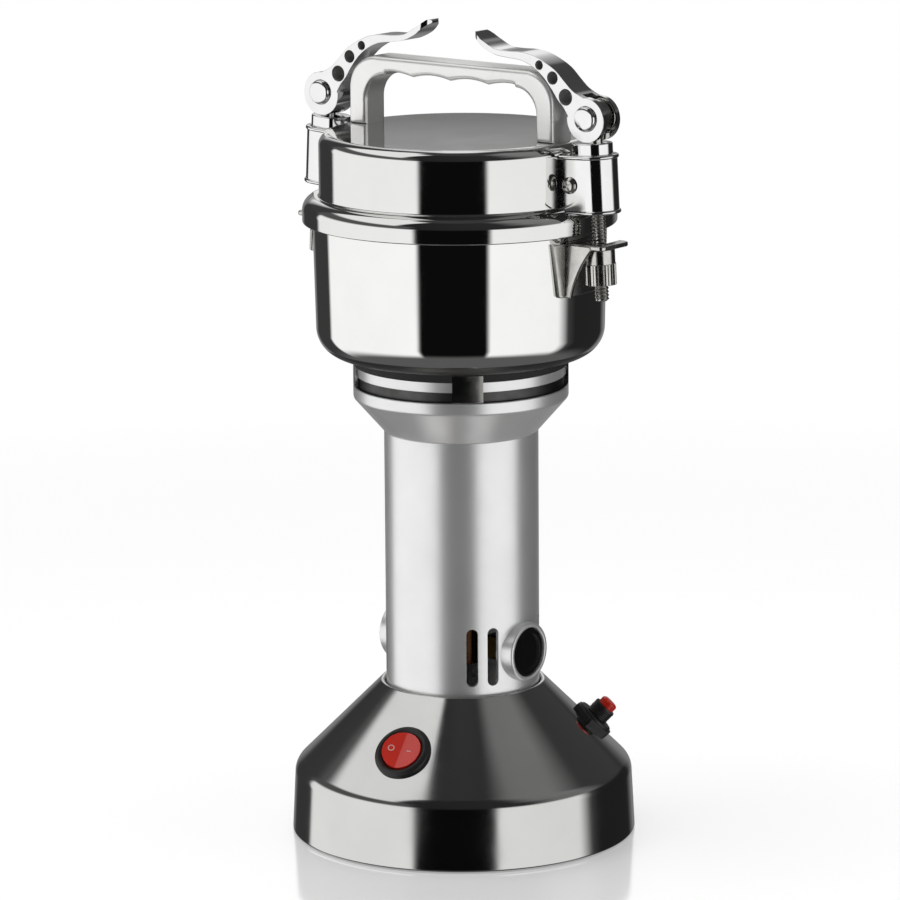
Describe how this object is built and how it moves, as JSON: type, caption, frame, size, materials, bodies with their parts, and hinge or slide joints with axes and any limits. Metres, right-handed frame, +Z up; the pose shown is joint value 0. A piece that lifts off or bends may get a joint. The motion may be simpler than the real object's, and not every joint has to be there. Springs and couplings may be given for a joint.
{
  "type": "electric coffee grinder",
  "caption": "Upright electric grinder with a conical base, motor column, polished steel bowl with blades, and a lifting lid held by cam-lever clamps.",
  "frame": {"origin": "on the floor at the motor axis, under the middle of the base", "axes": "+Z up along the motor axis, +X from the axis through the right-hand lid clamp, the power rocker faces -Y"},
  "size_m": [0.164, 0.1472, 0.3483],
  "materials": {
    "polished_steel": "mirror-polished stainless sheet",
    "chromed_castings": "bright chrome-plated castings and bent sheet",
    "silver_tube": "satin silver finish",
    "zinc_steel": "bright zinc-plated steel",
    "bearing_steel": "ground steel",
    "black_plastic": "fine-grained black moulding",
    "red_plastic": "glossy red moulding",
    "black_rubber": "matt black rubber",
    "pale_silicone": "matt pale silicone",
    "copper": "enamelled copper",
    "brass": "plain brass",
    "laminations": "stacked steel laminations",
    "graphite": "pressed carbon",
    "grey_plastic": "plain moulding"
  },
  "bodies": {
    "housing": {"base_shell": "polished_steel", "base_plate": "zinc_steel", "rubber_feet": "black_rubber", "foot_screws": "zinc_steel", "foot_nuts": "zinc_steel", "rocker_bezel": "black_plastic", "breaker_body": "black_plastic", "breaker_nut": "black_plastic", "cord_gland": "black_plastic", "gland_nut": "black_plastic", "motor_tube": "silver_tube", "tube_ring": "silver_tube", "lower_bracket": "silver_tube", "lower_bearing": "bearing_steel", "brush_holders": "brass", "carbon_brushes": "graphite", "brush_springs": "bearing_steel", "brush_caps": "black_plastic", "stator_core": "laminations", "stator_coils": "copper", "upper_bearing": "bearing_steel", "collar": "silver_tube", "bowl_seat": "polished_steel", "bowl_gasket": "black_rubber", "bowl": "polished_steel", "bowl_screws": "zinc_steel", "shaft_seal": "pale_silicone", "bracket_right": "zinc_steel", "bracket_left": "zinc_steel"},
    "rotor": {"motor_shaft": "bearing_steel", "commutator": "copper", "armature_core": "laminations", "armature_windings": "copper", "cooling_fan": "grey_plastic", "blade_spacers": "zinc_steel", "lower_blade": "bearing_steel", "upper_blade": "bearing_steel", "blade_nut": "zinc_steel"},
    "lid": {"lid_shell": "polished_steel", "lid_seal": "pale_silicone", "handle": "chromed_castings", "handle_screws": "zinc_steel", "guide_right": "chromed_castings", "guide_left": "chromed_castings", "cover_right": "chromed_castings", "cover_left": "chromed_castings", "cover_screws": "zinc_steel"},
    "clamp_rod_right": {"rod_right": "zinc_steel", "pin_right": "zinc_steel"},
    "clamp_rod_left": {"rod_left": "zinc_steel", "pin_left": "zinc_steel"},
    "clamp_lever_right": {"lever_right": "chromed_castings"},
    "clamp_lever_left": {"lever_left": "chromed_castings"},
    "clamp_nut_right": {"nut_right": "zinc_steel"},
    "clamp_nut_left": {"nut_left": "zinc_steel"},
    "power_rocker": {"rocker": "red_plastic"},
    "reset_button": {"breaker_button": "red_plastic"}
  },
  "joints": [
    {"name": "rotor_spin", "type": "hinge", "parent": "housing", "child": "rotor", "pos_m": [0, 0, 0.1], "axis": [0, 0, 1], "continuous": true},
    {"name": "lid_turn", "type": "hinge", "parent": "housing", "child": "lid", "pos_m": [0, 0, 0.27], "axis": [0, 0, 1], "range_deg": [0, 25]},
    {"name": "right_rod_slide", "type": "slide", "parent": "lid", "child": "clamp_rod_right", "axis": [-0.0523, 0, 0.9986], "range_m": [-0.00096, 0]},
    {"name": "left_rod_slide", "type": "slide", "parent": "lid", "child": "clamp_rod_left", "axis": [0.0523, 0, 0.9986], "range_m": [-0.000934, 0.0000262]},
    {"name": "right_lever_flip", "type": "hinge", "parent": "clamp_rod_right", "child": "clamp_lever_right", "pos_m": [0.0703, 0, 0.31351], "axis": [0, 1, 0], "range_deg": [0, 110]},
    {"name": "left_lever_flip", "type": "hinge", "parent": "clamp_rod_left", "child": "clamp_lever_left", "pos_m": [-0.0703, 0, 0.31351], "axis": [0, -1, 0], "range_deg": [-3, 107]},
    {"name": "right_nut_turn", "type": "hinge", "parent": "clamp_rod_right", "child": "clamp_nut_right", "pos_m": [0.07363, 0, 0.25], "axis": [-0.0523, 0, 0.9986], "range_deg": [-180, 180]},
    {"name": "left_nut_turn", "type": "hinge", "parent": "clamp_rod_left", "child": "clamp_nut_left", "pos_m": [-0.07363, 0, 0.25], "axis": [0.0523, 0, 0.9986], "range_deg": [-180, 180]},
    {"name": "rocker_tilt", "type": "hinge", "parent": "housing", "child": "power_rocker", "pos_m": [0.01016, -0.0548, 0.04644], "axis": [0.1289, -0.6953, -0.7071], "range_deg": [0, 14]},
    {"name": "breaker_press", "type": "slide", "parent": "housing", "child": "reset_button", "axis": [-0.5417, -0.4545, -0.7071], "range_m": [0, 0.0025], "stiffness_N_per_m": 400, "springref_m": -0.001}
  ],
  "couplings": [
    {"joint": "right_rod_slide", "follows": "right_lever_flip", "m_per_rad": -0.0005},
    {"joint": "left_rod_slide", "follows": "left_lever_flip", "m_per_rad": -0.0005}
  ]
}
